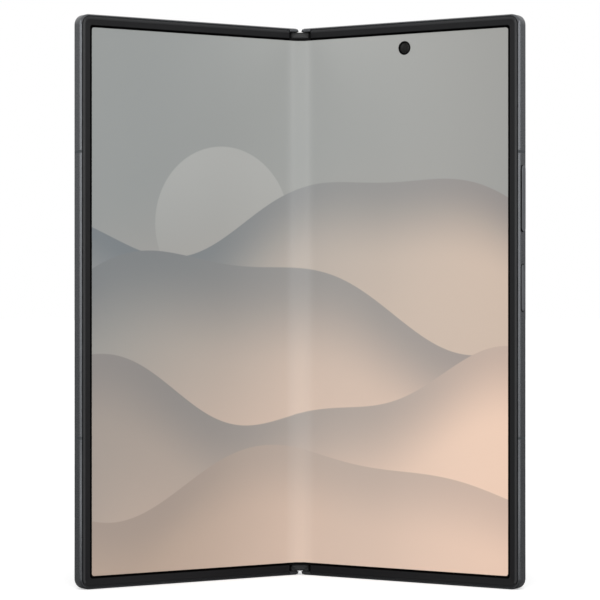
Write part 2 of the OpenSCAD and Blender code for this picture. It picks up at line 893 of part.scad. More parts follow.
module card_tray() {
  face = half_h - 0.05;
  color([0.30, 0.31, 0.32]) on_left() difference() {
    union() {
      along(face - 1.2, face) translate([tray_x, tray_y]) pill(tray_w, tray_t);
      block(tray_x - tray_w / 2 + 0.3, tray_x + tray_w / 2 - 0.3, tray_y - tray_t / 2,
            tray_y + tray_t / 2, half_h - tray_depth, face - 1.2 + eps);
    }
    block(tray_x - 4.4, tray_x + 4.4, tray_y - tray_t / 2 + 0.2, tray_y + tray_t,
          half_h - tray_depth + 1.4, half_h - tray_depth + 13.7);
    translate([tray_x + tray_w / 2 - 1, tray_y, face - 1]) cylinder(h = 2, r = 0.25);
  }
}

// ---- Right half: cameras, cell, boards and port ----

lens_mid_z = lens_places[1];
lens_seat_y = island_y + island_t;
board_right_low = half_h - 51.7;
cell_top = board_right_low - 1;

module island_area(grow) {
  translate([island_x, lens_mid_z]) rotate([0, 0, 90])
    pill(2 * lens_pitch + island_w + 2 * grow, island_w + 2 * grow);
}

module lens_holes(grow) {
  for (z = lens_places) disc(island_x, z, lens_r + grow, floor_y, body_t + 5);
}

module rear_glass() {
  color([0.27, 0.29, 0.31]) on_right() difference() {
    slab(glass_y, body_t) half_area(glass_start + glue, glass_margin + glue, corner_r - glass_margin);
    lens_holes(0);
    disc(flash_x, lens_top_z, 2.05, 0, body_t + 1);
  }
}

module camera_island() {
  color([0.25, 0.26, 0.27]) on_right() difference() {
    union() {
      slab(island_y, lens_seat_y - 0.3) island_area(0);
      slab(island_y, lens_seat_y) island_area(-0.3);
    }
    lens_holes(0);
  }
}

module lens_rings() {
  y0 = lens_seat_y + 0.02;
  color([0.5, 0.51, 0.53]) on_right() for (z = lens_places) {
    ring(island_x, z, ring_r, lens_r + 0.05, y0, y0 + ring_t - 0.2);
    ring(island_x, z, ring_r - 0.2, lens_r + 0.05, y0, y0 + ring_t);
  }
}

module lens_glasses() {
  y1 = lens_seat_y + ring_t - 0.15;
  color([0.04, 0.05, 0.07]) on_right()
    for (z = lens_places) disc(island_x, z, lens_r - 0.02, y1 - 0.5, y1);
}

module flash_window() {
  color([0.95, 0.93, 0.85]) on_right() disc(flash_x, lens_top_z, 2, glass_y, body_t + 0.03);
}

module camera_modules() {
  y1 = lens_seat_y + ring_t - 0.75;
  half = camera_w / 2;
  color([0.1, 0.1, 0.11]) on_right() for (z = lens_places) {
    block(island_x - half, island_x + half, room_y, glass_y - 0.1, z - half, z + half);
    disc(island_x, z, lens_r - 0.6, glass_y - 0.1 - eps, y1);
  }
}

module inner_camera() {
  z = half_h - inner_cam_drop;
  color([0.06, 0.06, 0.07]) on_right() {
    disc(inner_cam_x, z, inner_cam_r - 0.12, display_y + 0.08, mid_y + eps);
    disc(inner_cam_x, z, 2.5, mid_y, room_y + eps);
    block(inner_cam_x - 3, inner_cam_x + 3, room_y, glass_y - 0.3, z - 3, z + 3);
  }
}

module right_cell() {
  color([0.17, 0.17, 0.19]) on_right()
    block(room_x, room_out_x, room_y, glass_y - 0.45, cell_top - right_cell_h, cell_top);
}

module charging_coil() {
  z = cell_top - right_cell_h / 2;
  x = (room_x + room_out_x) / 2;
  color([0.72, 0.42, 0.2]) on_right() for (i = [0:5])
    ring(x, z, coil_r - i * 1.8, coil_r - i * 1.8 - 1.3, glass_y - 0.4, glass_y - 0.1);
}

module main_board() {
  x1 = island_x - camera_w / 2 - 1;
  color([0.08, 0.22, 0.16]) on_right() difference() {
    block(room_x, x1, room_y, room_y + board_t, board_right_low, half_h - rim_t - 0.6);
    for (p = post_places) disc(p[0], p[1], 1.15, 0, body_t);
    block(inner_cam_x - 3.2, inner_cam_x + 3.2, 0, body_t, half_h - inner_cam_drop - 3.2, half_h);
  }
}

module shield_can(x0, x1, z0, z1) {
  difference() {
    block(x0, x1, room_y + board_t, room_y + board_t + 1.3, z0, z1);
    block(x0 + 0.15, x1 - 0.15, room_y + board_t - 1, room_y + board_t + 1.15, z0 + 0.15, z1 - 0.15);
  }
}

module shield_cans() {
  color([0.75, 0.75, 0.76]) on_right() {
    shield_can(room_x + 5, room_x + 26, board_right_low + 1.5, board_right_low + 19);
    shield_can(room_x + 5, room_x + 19, board_right_low + 21, board_right_low + 46);
  }
}

module usb_port() {
  low = -half_h + 0.1;
  color([0.6, 0.6, 0.62]) on_right() {
    along(low, low + usb_depth) difference() {
      usb_outline(usb_wall);
      usb_outline(0);
    }
    along(low + usb_depth - eps, low + usb_depth + 0.15) usb_outline(usb_wall);
    block(usb_x - 3.3, usb_x + 3.3, usb_y - 0.33, usb_y + 0.33, low + 1.2, low + usb_depth);
  }
}

module sub_board() {
  low = -half_h + usb_depth + 0.6;
  color([0.08, 0.22, 0.16]) on_right() difference() {
    block(room_x, usb_x + 6.6, room_y, room_y + board_t, low, low + 9);
    for (p = post_places) disc(p[0], p[1], 1.15, 0, body_t);
  }
}

module loudspeaker() {
  color([0.12, 0.12, 0.13]) on_right()
    block(usb_x + 7.2, room_out_x, room_y, glass_y - 0.3, -half_h + rim_t + 0.1, -half_h + 16);
}

module vibration_motor() {
  low = -half_h + usb_depth + 1.6;
  color([0.65, 0.65, 0.67]) on_right()
    block(usb_x - 16, usb_x - 6, room_y + board_t, glass_y - 0.4, low, low + 7);
}

module right_magnets() {
  color([0.7, 0.7, 0.7]) on_right() magnets(-half_h + 19.2);
}

// Dome switches behind the keys, on one strip
module key_switches() {
  key_in_x = half_w - key_depth - key_pocket - flange_t;
  strip_x = half_w - rim_t - 0.1;
  color([0.75, 0.45, 0.1]) on_right() {
    block(strip_x - 0.3, strip_x, room_y, key_y + 0.9, side_key_z - 4, rocker_z + 8);
    for (z = [side_key_z, rocker_z - 5.5, rocker_z + 5.5]) translate([strip_x - eps, key_y, z])
      rotate([0, 90, 0]) cylinder(h = key_in_x - key_travel - 0.05 - strip_x + eps, r = 0.75);
  }
}

module volume_rocker() {
  color([0.38, 0.39, 0.40]) on_right() key_shape(rocker_z, rocker_len, rocker_proud);
}

module side_key() {
  color([0.34, 0.35, 0.36]) on_right() key_shape(side_key_z, side_key_len, side_key_proud);
}

left_frame();
right_frame();
left_bezel();
right_bezel();
left_display();
right_display();
fold_display();
left_antenna_breaks();
right_antenna_breaks();
spine_cover();
spine_end_caps();
hinge_bases();
hinge_screws();
idler_shafts();
hinge_flex();
friction_washers();
left_gear_shafts();
right_gear_shafts();
left_idlers();
right_idlers();
left_arms();
right_arms();
left_brackets();
right_brackets();
left_bracket_screws();
right_bracket_screws();
cover_glass();
cover_panel();
cover_camera();
earpiece();
left_cell();
left_board();
left_magnets();
card_reader();
card_tray();
rear_glass();
camera_island();
lens_rings();
lens_glasses();
flash_window();
camera_modules();
inner_camera();
right_cell();
charging_coil();
main_board();
shield_cans();
usb_port();
sub_board();
loudspeaker();
vibration_motor();
right_magnets();
key_switches();
volume_rocker();
side_key();
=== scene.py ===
import json
import math

import bmesh
import bpy
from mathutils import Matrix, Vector


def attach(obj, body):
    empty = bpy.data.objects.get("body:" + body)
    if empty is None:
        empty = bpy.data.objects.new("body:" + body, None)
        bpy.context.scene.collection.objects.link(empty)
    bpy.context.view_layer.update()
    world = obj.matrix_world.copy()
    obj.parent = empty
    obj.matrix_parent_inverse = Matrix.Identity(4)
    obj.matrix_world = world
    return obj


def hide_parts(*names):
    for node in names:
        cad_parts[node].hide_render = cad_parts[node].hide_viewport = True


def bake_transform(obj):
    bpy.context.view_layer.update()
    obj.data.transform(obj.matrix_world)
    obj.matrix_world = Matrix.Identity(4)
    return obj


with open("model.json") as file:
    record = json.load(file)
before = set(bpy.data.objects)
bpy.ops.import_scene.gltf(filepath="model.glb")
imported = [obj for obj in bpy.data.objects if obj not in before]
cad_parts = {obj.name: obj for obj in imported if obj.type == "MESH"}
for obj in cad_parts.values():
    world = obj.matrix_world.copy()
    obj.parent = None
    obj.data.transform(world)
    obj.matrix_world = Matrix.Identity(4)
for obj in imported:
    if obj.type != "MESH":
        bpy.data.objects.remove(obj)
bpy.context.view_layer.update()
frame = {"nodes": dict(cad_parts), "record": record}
NODES = frame["nodes"]

# ---- Sizes, in millimetres, in the frame of one flat half: u outward from the fold line,
# y from the display side (0) to the back, z along the fold with 0 at mid-height ----
MM, MICRON = 0.001, 0.000001
# Each half's fold away from flat at rest, its fold axis, and how far back the middle of the fold,
# at y 0, lies in the part's frame
FOLD = math.radians(32.3)
AXIS_X, AXIS_Y = 1.325, 1.075
SHIFT_Y = 16.8926
# Half of the height, the width of a flat half and its corners' radius
HALF_H, HALF_W, CORNER_R = 79.2, 71.6, 2.85
# The frame's lip round the trim, the whole border round the display, and the trim's end at the fold
LIP, BORDER, BEZEL_GAP = 0.4, 3.6, 4.0
# The film's front and back, its thinner back at the fold, and how far it runs under the trim
DISPLAY_Y, DISPLAY_BACK, FILM_BACK, UNDER = 0.4, 0.82, 0.52, 0.7
# How far from the fold line the film bends, how far its sheen turns, and how far it is thinner
FOLD_REACH, CREASE_REACH, THIN_REACH = 3.0, 6.0, 6.0
# The punch hole
CAM_U, CAM_Z, CAM_R = 35.1, 71.7, 1.92
# The smallest radius of a turned profile, which closes it at its axis
AXIAL = 0.0001


def share(u):
    """Part of the fold angle that the display has taken up at a distance u from the fold line."""
    t = min(1.0, max(0.0, abs(u) / FOLD_REACH))
    return t * t * (3 - 2 * t)


def place(side, u, y, z, part=1.0):
    """A point of the flat half on one side (-1 left, 1 right), folded, in the part's frame in metres."""
    turn = FOLD * part
    dx, dy = u - AXIS_X, y - AXIS_Y
    x = AXIS_X + dx * math.cos(turn) + dy * math.sin(turn)
    back = AXIS_Y - dx * math.sin(turn) + dy * math.cos(turn)
    return Vector((side * x, back + SHIFT_Y, z + HALF_H)) * MM


# ---- Mesh helpers ----

def new_object(name, points, faces, sharp=32.0, layer=None):
    """An object that is smooth but for edges sharper than `sharp` degrees. A layer gives each point
    three numbers for its material, under the name flat."""
    mesh = bpy.data.meshes.new(name)
    mesh.from_pydata([tuple(p) for p in points], [], faces)
    if layer:
        attribute = mesh.attributes.new("flat", "FLOAT_VECTOR", "POINT")
        attribute.data.foreach_set("vector", [c for p in layer for c in p])
    work = bmesh.new()
    work.from_mesh(mesh)
    bmesh.ops.recalc_face_normals(work, faces=work.faces)
    for face in work.faces:
        face.smooth = True
    for edge in work.edges:
        edge.smooth = len(edge.link_faces) == 2 and edge.calc_face_angle(0) < math.radians(sharp)
    work.to_mesh(mesh)
    work.free()
    obj = bpy.data.objects.new(name, mesh)
    bpy.context.scene.collection.objects.link(obj)
    return obj


def finish_piece(obj, body, material, replaced=()):
    """Gives a piece its material, the body that it rides on and the nodes that it replaces."""
    obj.data.materials.clear()
    obj.data.materials.append(material)
    if body:
        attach(obj, body)
    if replaced:
        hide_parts(*replaced)


def loft(rings):
    """Points and faces of a capped skin over closed rings that all have as many points."""
    n = len(rings[0])
    points = [p for ring in rings for p in ring]
    faces = []
    for i in range(len(rings) - 1):
        for j in range(n):
            k = (j + 1) % n
            faces.append((i * n + j, i * n + k, (i + 1) * n + k, (i + 1) * n + j))
    faces.append(tuple(range(n)))
    faces.append(tuple(range((len(rings) - 1) * n, len(rings) * n)))
    return points, faces


def joined(parts):
    """One list of points and one of faces from several."""
    points, faces = [], []
    for part_points, part_faces in parts:
        base = len(points)
        points += part_points
        faces += [tuple(i + base for i in face) for face in part_faces]
    return points, faces


def turned(side, u, z, profile, count=72, wobble=None):
    """A body of revolution about an axis through (u, z) that points to the back: profile holds
    (radius, y). wobble(angle, index) scales a radius."""
    rings = []
    for index, (r, y) in enumerate(profile):
        ring = []
        for k in range(count):
            a = 2 * math.pi * k / count
            s = r * (wobble(a, index) if wobble else 1.0)
            ring.append(place(side, u + s * math.cos(a), y, z + s * math.sin(a)))
        rings.append(ring)
    return loft(rings)


def pill_outline(length, width, count=14):
    """A slot outline centred on 0, its long side along the first axis."""
    points, half = [], (length - width) / 2
    for end, start in ((1, -90), (-1, 90)):
        for k in range(count + 1):
            a = math.radians(start + 180 * k / count)
            points.append((end * half + width / 2 * math.cos(a), width / 2 * math.sin(a)))
    return points


def applied(obj):
    """The object's mesh with its modifiers, as points and faces; the object is removed."""
    graph = bpy.context.evaluated_depsgraph_get()
    mesh = obj.evaluated_get(graph).to_mesh()
    points = [v.co.copy() for v in mesh.vertices]
    faces = [tuple(p.vertices) for p in mesh.polygons]
    bpy.data.objects.remove(obj, do_unlink=True)
    return points, faces


def pierced(obj, u, zs, r, count, depths):
    """Points and faces of an object in flat millimetres after round holes are cut along y."""
    turns = [2 * math.pi * k / count for k in range(count)]
    punches = []
    for z in zs:
        rings = [[Vector((u + r * math.cos(a), y, z + r * math.sin(a))) for a in turns] for y in depths]
        punches.append(new_object("punch", *loft(rings)))
        cut = obj.modifiers.new("hole", "BOOLEAN")
        cut.object, cut.operation, cut.solver = punches[-1], "DIFFERENCE", "EXACT"
    points, faces = applied(obj)
    for punch in punches:
        bpy.data.objects.remove(punch, do_unlink=True)
    return points, faces


# ---- Materials: all procedural ----

BUMP_STRENGTH = 0.6


class Graph:
    """Short calls to build one material's nodes."""

    def __init__(self, name):
        self.material = bpy.data.materials.new(name)
        self.material.use_nodes = True
        self.tree = self.material.node_tree
        self.shader = self.tree.nodes["Principled BSDF"]

    def add(self, kind, inputs=(), **settings):
        node = self.tree.nodes.new(kind)
        for key, value in settings.items():
            setattr(node, key, value)
        for key, value in dict(inputs).items():
            self.put(node.inputs[key], value)
        return node

    def put(self, socket, value):
        if isinstance(value, bpy.types.NodeSocket):
            self.tree.links.new(value, socket)
        else:
            socket.default_value = value

    def math(self, operation, *values):
        node = self.tree.nodes.new("ShaderNodeMath")
        node.operation = operation
        for socket, value in zip(node.inputs, values):
            self.put(socket, value)
        return node.outputs[0]

    def ramp(self, value, low, high, to_low=0.0, to_high=1.0, smooth=True):
        node = self.add("ShaderNodeMapRange", {0: value, 1: low, 2: high, 3: to_low, 4: to_high})
        node.interpolation_type = "SMOOTHSTEP" if smooth else "LINEAR"
        return node.outputs[0]

    def blend(self, factor, a, b):
        node = self.add("ShaderNodeMix", data_type="RGBA")
        for socket, value in ((node.inputs[0], factor), (node.inputs[6], a), (node.inputs[7], b)):
            self.put(socket, value)
        return node.outputs[2]

    def noise(self, scale, detail=4.0, stretch=(1, 1, 1)):
        where = self.add("ShaderNodeTexCoord").outputs["Object"]
        if stretch != (1, 1, 1):
            where = self.add("ShaderNodeMapping", {"Vector": where, "Scale": stretch}).outputs[0]
        made = self.add("ShaderNodeTexNoise", {"Vector": where, "Scale": scale, "Detail": detail})
        return made.outputs["Fac"]

    def distance(self, where, point):
        made = self.add("ShaderNodeVectorMath", {0: where, 1: point}, operation="DISTANCE")
        return made.outputs["Value"]

    def bump(self, height, depth):
        """A relief of that depth in micrometres."""
        node = self.add("ShaderNodeBump", {"Height": height, "Distance": depth * MICRON,
                                           "Strength": BUMP_STRENGTH})
        self.put(self.shader.inputs["Normal"], node.outputs[0])

    def set(self, **values):
        for key, value in values.items():
            self.put(self.shader.inputs[key.replace("_", " ")], value)


def srgb(*levels):
    """Levels from 0 to 255 as a linear colour."""
    linear = [v / 255 / 12.92 if v <= 10 else ((v / 255 + 0.055) / 1.055) ** 2.4 for v in levels]
    return (*linear, 1.0)


def finish_material(name, colour, rough, metal, grain, vary, depth,
                    stretch=(1, 1, 1), rough_vary=0.08, coat=0.0, level=0.5):
    """A plain finish with a grain in its colour, roughness and surface."""
    g = Graph(name)
    fine = g.noise(grain, 5.0, stretch)
    broad = g.noise(grain / 40, 2.0)
    dark = tuple(c * (1 - vary) for c in colour[:3]) + (1.0,)
    light = tuple(min(1.0, c * (1 + vary)) for c in colour[:3]) + (1.0,)
    mottle = g.math("MULTIPLY_ADD", fine, 0.6, g.math("MULTIPLY", broad, 0.4))
    g.set(Base_Color=g.blend(mottle, dark, light),
          Metallic=metal, Coat_Weight=coat, Coat_Roughness=0.06, Specular_IOR_Level=level,
          Roughness=g.ramp(fine, 0.3, 0.7, rough - rough_vary, rough + rough_vary, smooth=False))
    g.bump(fine, depth)
    return g.material


LENGTHWISE = (1, 1, 0.03)
# Each finish: name, tone (0 to 255), roughness, metallic, grains per metre, spread of its tone,
# depth of its grain in micrometres, and what else it sets
FINISHES = {name: finish_material(name, srgb(*tone), *numbers, **more) for name, tone, *numbers, more in (
    ("frame_metal", (98, 100, 103), 0.3, 0.95, 9000, 0.04, 2, dict()),
    # key_metal is rougher than frame_metal, and its lighter tone is partly painted light, for the keys' faces
    # that catch more light.
    ("key_metal", (112, 114, 117), 0.48, 0.9, 9000, 0.05, 4, dict()),
    ("break_plastic", (48, 53, 57), 0.5, 0.0, 5000, 0.08, 6, dict()),
    ("hinge_metal", (150, 152, 156), 0.3, 1.0, 2500, 0.1, 8, dict(stretch=LENGTHWISE)),
    ("spine_metal", (70, 77, 83), 0.3, 0.9, 4000, 0.06, 5, dict(stretch=LENGTHWISE)),
    ("copper_flex", (190, 120, 40), 0.35, 0.2, 2200, 0.2, 10, dict(coat=0.4)),
    ("washer_metal", (190, 176, 130), 0.35, 1.0, 2500, 0.1, 8, dict()),
    ("panel_black", (22, 22, 25), 0.2, 0.0, 900, 0.2, 4, dict(coat=0.5)),
    ("camera_black", (30, 31, 34), 0.45, 0.2, 4000, 0.15, 10, dict()),
    ("camera_seat", (10, 10, 11), 0.55, 0.0, 4000, 0.15, 8, dict(level=0.2)),
    ("dead_black", (3, 3, 3), 0.6, 0.0, 4000, 0.15, 8, dict(level=0.05)),
    ("front_lens", (20, 20, 19), 0.3, 0.0, 900, 0.12, 0.5, dict(level=0.2)),
    ("magnet_metal", (180, 180, 182), 0.28, 1.0, 1800, 0.1, 8, dict()),
    ("can_metal", (185, 186, 188), 0.34, 1.0, 1500, 0.12, 10, dict(stretch=(1, 1, 0.1))),
    ("ring_metal", (128, 132, 138), 0.24, 1.0, 6000, 0.06, 4, dict()),
    ("rear_glass", (70, 76, 82), 0.38, 0.0, 14000, 0.04, 3, dict(coat=0.25)),
    ("cover_glass", (9, 9, 11), 0.05, 0.0, 500, 0.1, 0.5, dict(rough_vary=0.015, coat=0.6)),
)}


def cell_material():
    """A battery pouch: dark foil with soft creases and a paler seam wrinkle."""
    g = Graph("cell_foil")
    creases = g.noise(260, 3.0, (1, 1, 0.25))
    grain = g.noise(5000, 3.0)
    g.set(Base_Color=g.blend(creases, srgb(38, 38, 42), srgb(70, 71, 76)), Metallic=0.35,
          Roughness=g.ramp(grain, 0.3, 0.7, 0.3, 0.48))
    g.bump(g.math("ADD", g.math("MULTIPLY", creases, 3.0), grain), 40)
    return g.material


def board_material():
    """Solder mask over etched tracks, with bare pads."""
    g = Graph("board_green")
    where = g.add("ShaderNodeTexCoord").outputs["Object"]
    tracks = g.add("ShaderNodeTexBrick", {"Vector": where, "Scale": 420.0, "Mortar Size": 0.035,
                                          "Color1": (1, 1, 1, 1), "Color2": (0.4, 0.4, 0.4, 1)})
    pads = g.add("ShaderNodeTexVoronoi", {"Vector": where, "Scale": 900.0}).outputs["Distance"]
    bare = g.ramp(pads, 0.16, 0.12)
    mask = g.blend(tracks.outputs["Fac"], srgb(20, 82, 58), srgb(44, 120, 84))
    g.set(Base_Color=g.blend(bare, mask, srgb(200, 160, 80)), Metallic=g.math("MULTIPLY", bare, 0.9),
          Roughness=g.ramp(pads, 0.1, 0.5, 0.25, 0.42))
    g.bump(tracks.outputs["Fac"], 30)
    return g.material


def coil_material():
    """Copper wire with a mottled lacquer."""
    g = Graph("coil_copper")
    lacquer = g.noise(1200, 2.0)
    g.set(Base_Color=g.blend(lacquer, srgb(150, 84, 38), srgb(214, 136, 72)), Metallic=1.0,
          Roughness=g.ramp(lacquer, 0.3, 0.7, 0.26, 0.4))
    g.bump(lacquer, 20)
    return g.material


def lens_material():
    """Dark coated glass whose tint shifts towards its rim."""
    g = Graph("lens_glass")
    facing = g.add("ShaderNodeLayerWeight", {"Blend": 0.35}).outputs["Facing"]
    cloud = g.noise(900, 2.0)
    tint = g.blend(facing, srgb(10, 14, 24), srgb(34, 26, 54))
    g.set(Base_Color=g.blend(g.math("MULTIPLY", cloud, 0.3), tint, srgb(16, 42, 46)), Metallic=0.0,
          Roughness=g.ramp(cloud, 0.3, 0.7, 0.03, 0.06), Coat_Weight=1.0, Coat_Roughness=0.02)
    g.bump(cloud, 0.4)
    return g.material


def flash_material():
    """Milky yellowish plastic over a phosphor."""
    g = Graph("flash_plastic")
    cells = g.noise(2600, 4.0)
    g.set(Base_Color=g.blend(cells, srgb(214, 200, 150), srgb(236, 228, 196)),
          Roughness=g.ramp(cells, 0.3, 0.7, 0.18, 0.3), Coat_Weight=0.6)
    g.bump(cells, 10)
    return g.material


def cap_material():
    """The spine's end: satin where it shows between the halves; beyond 2.5 mm from the middle it is painted
    dead black as the deep shade in the gaps beside them.
    """
    g = Graph("cap_plastic")
    where = g.add("ShaderNodeTexCoord").outputs["Object"]
    split = g.add("ShaderNodeSeparateXYZ", {0: where}).outputs
    grain = g.noise(5000, 4.0)
    # Painted shade: beyond 2.4 to 2.5 mm from the middle the cap turns dead black with little specular, for
    # the deep shadow in the gaps beside the halves.
    nose = g.ramp(g.math("ABSOLUTE", split["X"]), 2.5 * MM, 2.4 * MM)
    tone = g.blend(grain, srgb(26, 27, 28), srgb(34, 35, 36))
    g.set(Base_Color=g.blend(nose, srgb(9, 9, 10), tone), Roughness=g.ramp(grain, 0.3, 0.7, 0.4, 0.5),
          Specular_IOR_Level=g.math("MULTIPLY_ADD", nose, 0.35, 0.1))
    g.bump(grain, 5)
    return g.material


FINISHES.update(cap_plastic=cap_material(), cell_foil=cell_material(), board_green=board_material(),
                coil_copper=coil_material(), lens_glass=lens_material(), flash_plastic=flash_material())


# ---- The inner display: one film, made flat, pierced for the camera, then folded ----

SKY_TOP, SKY_LOW, SKY_RIGHT = (148, 151, 150), (208, 186, 170), (154, 154, 151)
DISC, SHADE, PAINTED_SHEEN = (184, 184, 181), (98, 108, 116), (240, 238, 232)
DISC_AT, DISC_R = (-26, DISPLAY_Y, 22), 22.0
# Each dune: level of its crest, waves (size, turn per mm, start), reach and strength of its shade, tones
DUNES = (
    (26, ((11, 0.040, 0.4), (3, 0.093, 2.0)), 24, 0.66, (154, 155, 153), (204, 184, 168)),
    (2, ((13, 0.034, 2.6), (4, 0.081, 0.3)), 30, 0.62, (158, 155, 150), (226, 197, 177)),
    (-25, ((10, 0.043, 4.9), (3, 0.101, 1.1)), 24, 0.42, (164, 154, 146), (238, 206, 184)),
    (-49, ((8, 0.047, 1.3), (4, 0.079, 3.4)), 20, 0.28, (184, 164, 149), (234, 202, 181)),
)


def wallpaper_material():
    """Soft dunes under a pale disc, grey above and peach below, with a broad painted sheen, inside a black
    border.
    """
    g = Graph("display_film")
    flat = g.add("ShaderNodeAttribute", attribute_name="flat").outputs["Vector"]
    split = g.add("ShaderNodeSeparateXYZ", {0: flat}).outputs
    x, depth, z = split["X"], split["Y"], split["Z"]

    def wave(level, *terms):
        height = level
        for size, per_mm, start in terms:
            turn = g.math("MULTIPLY_ADD", x, per_mm, start)
            height = g.math("MULTIPLY_ADD", g.math("SINE", turn), size, height)
        return height

    fall = g.math("SUBTRACT", z, g.math("MULTIPLY", x, 0.22))
    sky = g.blend(g.ramp(fall, 46, -64), srgb(*SKY_TOP), srgb(*SKY_LOW))
    sky = g.blend(g.math("MULTIPLY", g.ramp(x, 0, 70), g.ramp(z, -10, 20)), sky, srgb(*SKY_RIGHT))
    away = g.distance(flat, DISC_AT)
    disc = g.math("MULTIPLY", g.ramp(away, DISC_R + 0.3, DISC_R - 0.1), g.ramp(z, -4, 44, 0.05, 0.55))
    picture = g.blend(disc, sky, srgb(*DISC))
    for level, terms, reach, strength, crest, foot in DUNES:
        below = g.math("SUBTRACT", wave(level, *terms), z)
        fade = g.ramp(below, 0, reach, strength, 0.0)
        body = g.blend(g.ramp(g.math("MULTIPLY_ADD", x, 0.9, below), -40, 78), srgb(*crest), srgb(*foot))
        shaded = g.blend(fade, body, srgb(*SHADE))
        picture = g.blend(g.ramp(below, 0.0, 0.35), picture, shaded)
    # Painted sheen: a pale tone blended in up to 16 % at 12 mm right of the fold, fading out over 70 mm.
    aside = g.math("ABSOLUTE", g.math("SUBTRACT", x, 12))
    picture = g.blend(g.ramp(aside, 70, 0, 0.0, 0.16), picture, srgb(*PAINTED_SHEEN))
    across = g.ramp(g.math("ABSOLUTE", x), HALF_W - BORDER - 0.06, HALF_W - BORDER)
    along = g.ramp(g.math("ABSOLUTE", z), HALF_H - BORDER - 0.06, HALF_H - BORDER)
    edge = g.math("MAXIMUM", across, along)
    hole = g.distance(flat, (CAM_U, DISPLAY_Y, CAM_Z))
    dark = g.math("MAXIMUM", g.math("MAXIMUM", edge, g.ramp(hole, CAM_R + 0.06, CAM_R + 0.02)),
                  g.ramp(depth, 0.44, 0.46))
    grain = g.noise(26000, 2.0)
    g.set(Base_Color=g.blend(dark, picture, srgb(8, 8, 9)),
          Roughness=g.ramp(grain, 0.3, 0.7, 0.34, 0.4),
          Specular_IOR_Level=g.math("MULTIPLY_ADD", dark, -0.2, 0.25))
    g.bump(g.noise(140, 2.0), 3)
    return g.material


FINISHES["display_film"] = wallpaper_material()


def soften_crease(piece, side):
    """Gives the front normals that turn evenly across the fold, so that it shows as a faint band."""
    mesh = piece.data
    flat = mesh.attributes["flat"].data
    normals = []
    for polygon in mesh.polygons:
        corners = [flat[mesh.loops[i].vertex_index].vector for i in polygon.loop_indices]
        front = all(corner[1] < DISPLAY_Y + 0.001 for corner in corners)
        for corner in corners:
            if front:
                t = min(1.0, abs(corner[0]) / CREASE_REACH)
                turn = FOLD * t * t * (3 - 2 * t)
                normals.append((-side * math.sin(turn), -math.cos(turn), 0.0))
            else:
                normals.append(tuple(polygon.normal))
    mesh.normals_split_custom_set(normals)


def display(side):
    """One half's film. Its layer holds the flat places, which the picture and the sheen follow."""
    columns = [0.25 * i for i in range(23)] + [7, 12, 20, 30, 40, 50, 60, HALF_W - BORDER + UNDER]
    top = HALF_H - BORDER + UNDER
    backs = [FILM_BACK if u < THIN_REACH else DISPLAY_BACK for u in columns]
    rings = [[(u, DISPLAY_Y, -top), (u, DISPLAY_Y, top), (u, back, top), (u, back, -top)]
             for u, back in zip(columns, backs)]
    points, faces = loft(rings)
    if side > 0:
        slab = new_object("slab", [Vector(p) for p in points], faces)
        points, faces = pierced(slab, CAM_U, (CAM_Z,), CAM_R, 72, (-1, 2))
    folded = [place(side, u, y, z, share(u)) for u, y, z in points]
    name = "right" if side > 0 else "left"
    piece = new_object(f"{name}_screen", folded, faces, layer=[(side * p[0], p[1], p[2]) for p in points])
    finish_piece(piece, None, FINISHES["display_film"], (f"{name}_display",))
    soften_crease(piece, side)
    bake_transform(piece)
    return piece


display(-1)
right_screen = display(1)
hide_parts("fold_display")


# ---- Bezels: a raised trim with a groove, a shoulder, a flat and a dark inner slope ----

def inset_path(inset, y, side):
    """The outline of a half at an inset from its outer walls, open at the fold."""
    r = max(CORNER_R - inset, 0.8)
    right, top = HALF_W - inset, HALF_H - inset
    points = [(BEZEL_GAP, top), (right - r, top)]
    points += [(right - r + r * math.sin(math.radians(a)), top - r + r * math.cos(math.radians(a)))
               for a in range(10, 90, 10)]
    points += [(right, top - r), (right, -top + r)]
    points += [(right - r + r * math.cos(math.radians(a)), -top + r - r * math.sin(math.radians(a)))
               for a in range(10, 90, 10)]
    points += [(right - r, -top), (BEZEL_GAP, -top)]
    return [place(side, u, y, z) for u, z in points]


BEZEL_PROFILE = (
    (0.0, 0.40), (0.0, 0.34), (0.03, 0.32), (0.24, 0.32), (0.3, 0.26), (0.4, 0.125), (0.5, 0.104), (0.7, 0.1),
    (0.9, 0.106), (1.2, 0.13), (1.5, 0.15), (2.55, 0.16), (2.7, 0.175), (2.9, 0.24), (3.08, 0.33),
    (3.2, 0.40),
)


